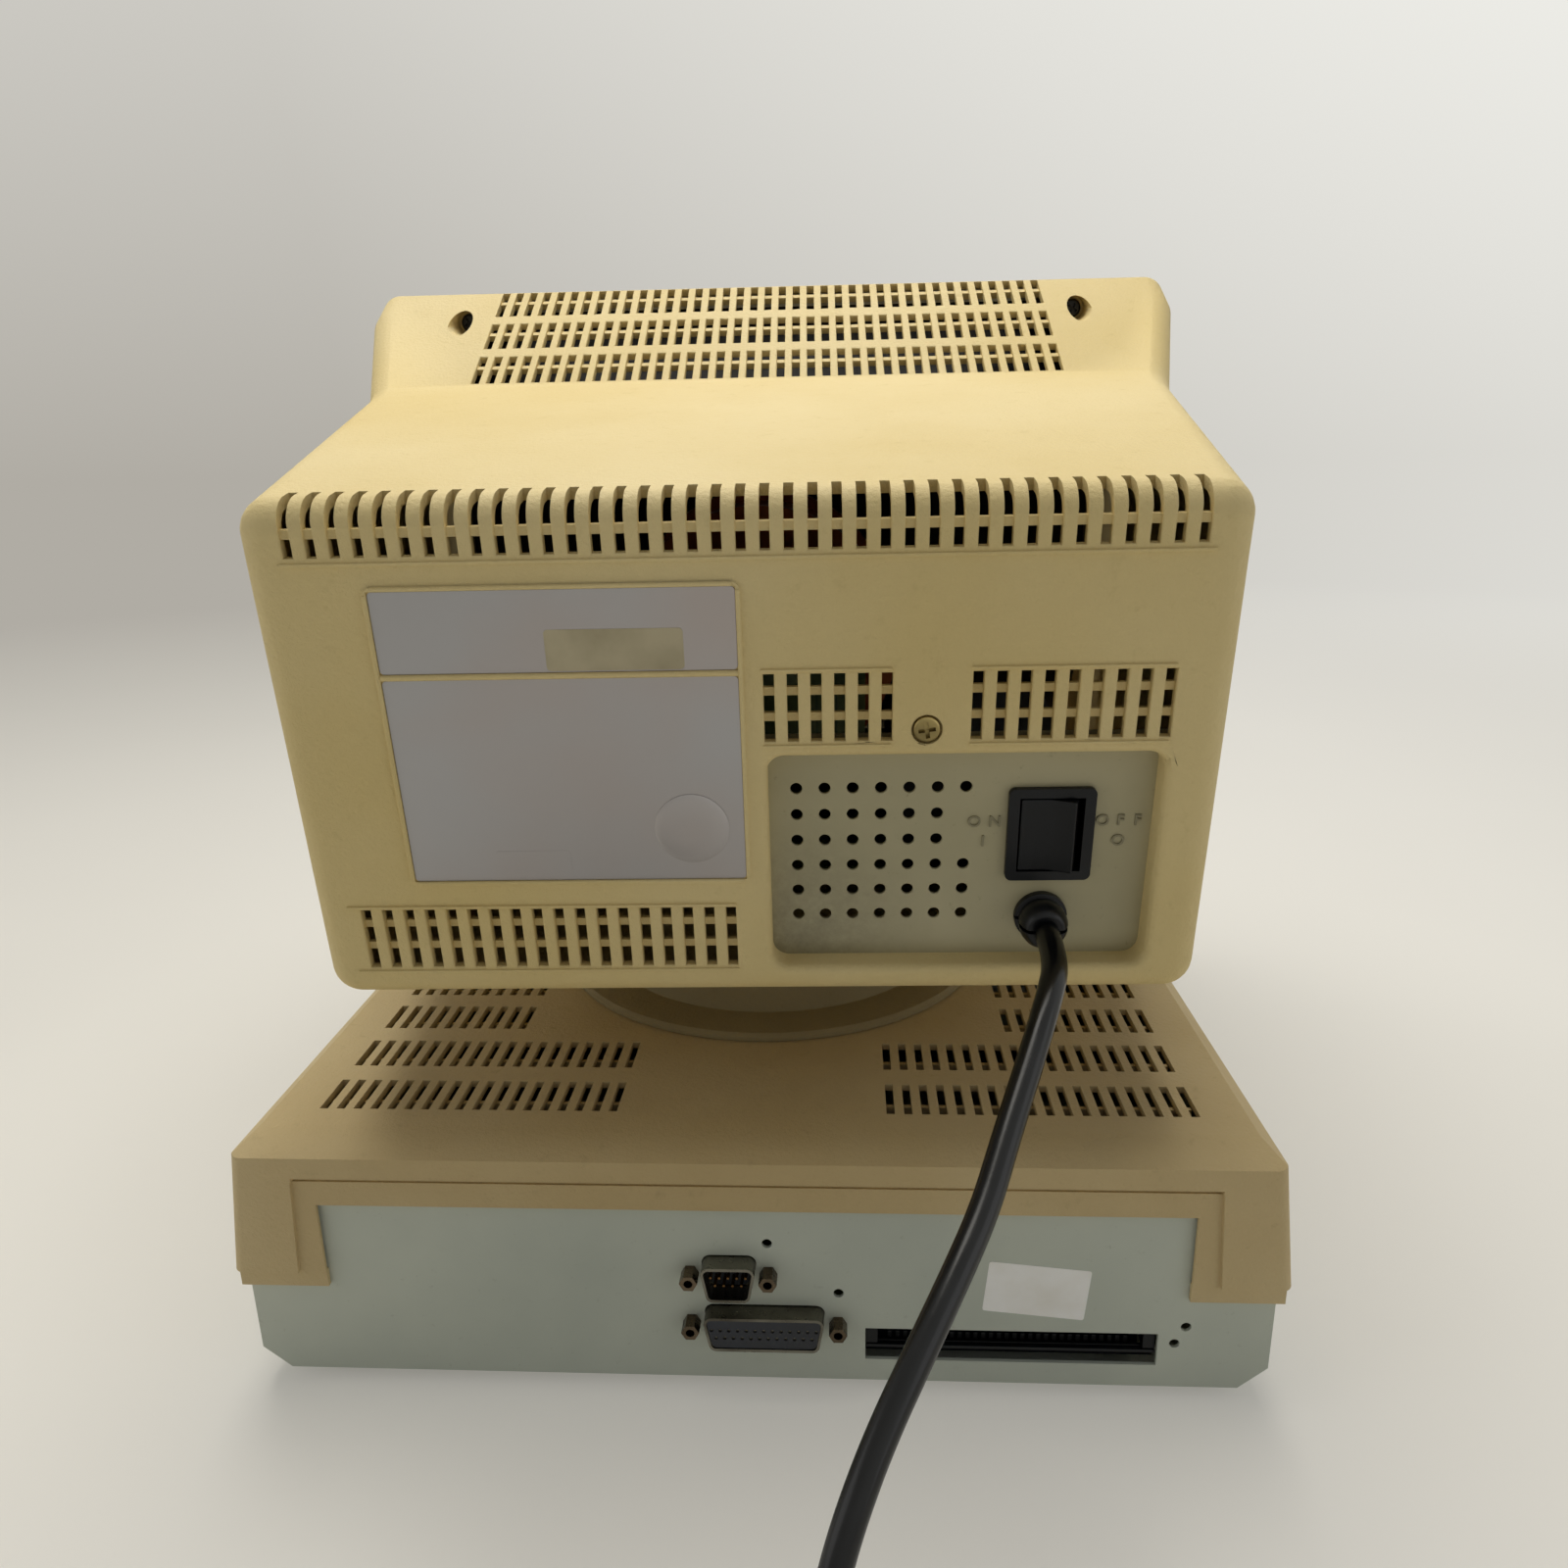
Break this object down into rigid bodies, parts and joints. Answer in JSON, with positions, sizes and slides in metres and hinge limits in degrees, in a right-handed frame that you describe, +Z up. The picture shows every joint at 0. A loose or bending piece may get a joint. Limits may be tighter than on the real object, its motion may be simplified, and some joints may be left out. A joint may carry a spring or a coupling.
{
  "type": "vintage personal computer",
  "caption": "Beige personal computer of the late 1980s: low system unit with disk drives and a swivel and tilt monitor, seen from behind, with its mains cord.",
  "frame": {"origin": "where the swivel axis meets the underside of the steel pan; the feet reach 4 mm lower", "axes": "+Z up, +Y towards the rear with its ports, -Y towards the disk drives and the screen, +X to the left when seen from behind"},
  "size_m": [0.3716, 0.606, 0.3783],
  "materials": {
    "housing_plastic": "fine-grained moulded plastic, yellowed",
    "cover_plastic": "fine-grained moulded plastic",
    "front_plastic": "fine-grained moulded plastic",
    "pan_paint": "satin paint on sheet steel",
    "plate_paint": "satin paint on sheet steel",
    "bare_steel": "plated sheet steel",
    "dark_plastic": "glossy black moulded plastic",
    "cord_sheath": "smooth flexible vinyl",
    "foot_rubber": "matte rubber",
    "screen_glass": "dark tinted tube glass",
    "funnel_glass": "graphite-coated glass",
    "board_laminate": "solder-masked laminate",
    "part_plastic": "moulded component plastic",
    "pin_brass": "plated brass",
    "lamp_plastic": "clear red plastic",
    "stand_plastic": "fine-grained moulded plastic"
  },
  "bodies": {
    "base": {"base_cover": "cover_plastic", "chassis_pan": "pan_paint", "rear_panel": "pan_paint", "base_front": "front_plastic", "drive_bracket": "bare_steel", "main_board": "board_laminate", "option_connector": "dark_plastic", "printer_port": "bare_steel", "serial_port": "bare_steel", "power_lamp": "lamp_plastic", "keyboard_jack": "dark_plastic", "speaker": "part_plastic", "swivel_clip": "bare_steel", "jack_nut_1": "bare_steel", "foot_1": "foot_rubber", "jack_nut_2": "bare_steel", "foot_2": "foot_rubber", "jack_nut_3": "bare_steel", "foot_3": "foot_rubber", "jack_nut_4": "bare_steel", "foot_4": "foot_rubber", "drive_a": "bare_steel", "drive_front_a": "front_plastic", "drive_b": "bare_steel", "drive_front_b": "front_plastic"},
    "stand": {"turntable": "stand_plastic", "tilt_saddle": "stand_plastic", "power_cord": "cord_sheath", "cord_coil": "cord_sheath", "power_plug": "cord_sheath", "blade_left": "pin_brass", "blade_right": "pin_brass", "earth_pin": "pin_brass"},
    "monitor": {"rear_cover": "housing_plastic", "power_panel": "plate_paint", "switch_body": "dark_plastic", "cord_bushing": "dark_plastic", "monitor_bezel": "front_plastic", "tube_panel": "screen_glass", "tube_funnel": "funnel_glass", "tension_band": "bare_steel", "deflection_yoke": "part_plastic", "neck_board": "board_laminate", "monitor_board": "board_laminate", "transformer": "part_plastic", "power_supply": "bare_steel", "ball_foot": "stand_plastic"},
    "rocker": {"switch_rocker": "dark_plastic"},
    "brightness": {"brightness_knob": "front_plastic"},
    "contrast": {"contrast_knob": "front_plastic"},
    "flap_a": {"drive_flap_a": "dark_plastic"},
    "flap_b": {"drive_flap_b": "dark_plastic"},
    "button_a": {"eject_button_a": "front_plastic"},
    "button_b": {"eject_button_b": "front_plastic"}
  },
  "joints": [
    {"name": "swivel", "type": "hinge", "parent": "base", "child": "stand", "pos_m": [0, 0, 0.0872], "axis": [0, 0, 1], "range_deg": [-45, 45]},
    {"name": "tilt", "type": "hinge", "parent": "stand", "child": "monitor", "pos_m": [0, 0, 0.196], "axis": [0.9997, 0.0246, 0], "range_deg": [-8, 9], "deforming": ["power_cord"]},
    {"name": "rocker_throw", "type": "hinge", "parent": "monitor", "child": "rocker", "pos_m": [-0.0913, 0.1227, 0.18022], "axis": [-0.0031, 0.1253, 0.9921], "range_deg": [0, 20]},
    {"name": "brightness_turn", "type": "hinge", "parent": "monitor", "child": "brightness", "pos_m": [-0.11478, -0.21357, 0.14077], "axis": [-0.0244, 0.9918, -0.1253], "range_deg": [-150, 150]},
    {"name": "contrast_turn", "type": "hinge", "parent": "monitor", "child": "contrast", "pos_m": [-0.08279, -0.21279, 0.14077], "axis": [-0.0244, 0.9918, -0.1253], "range_deg": [-150, 150]},
    {"name": "flap_swing_a", "type": "hinge", "parent": "base", "child": "flap_a", "pos_m": [0.0628, -0.1526, 0.0633], "axis": [1, 0, 0], "range_deg": [0, 80], "stiffness_Nm_per_rad": 0.0003},
    {"name": "eject_press_a", "type": "slide", "parent": "base", "child": "button_a", "axis": [0, 1, 0], "range_m": [0, 0.004], "stiffness_N_per_m": 60},
    {"name": "flap_swing_b", "type": "hinge", "parent": "base", "child": "flap_b", "pos_m": [-0.0628, -0.1526, 0.0633], "axis": [1, 0, 0], "range_deg": [0, 80], "stiffness_Nm_per_rad": 0.0003},
    {"name": "eject_press_b", "type": "slide", "parent": "base", "child": "button_b", "axis": [0, 1, 0], "range_m": [0, 0.004], "stiffness_N_per_m": 60}
  ]
}
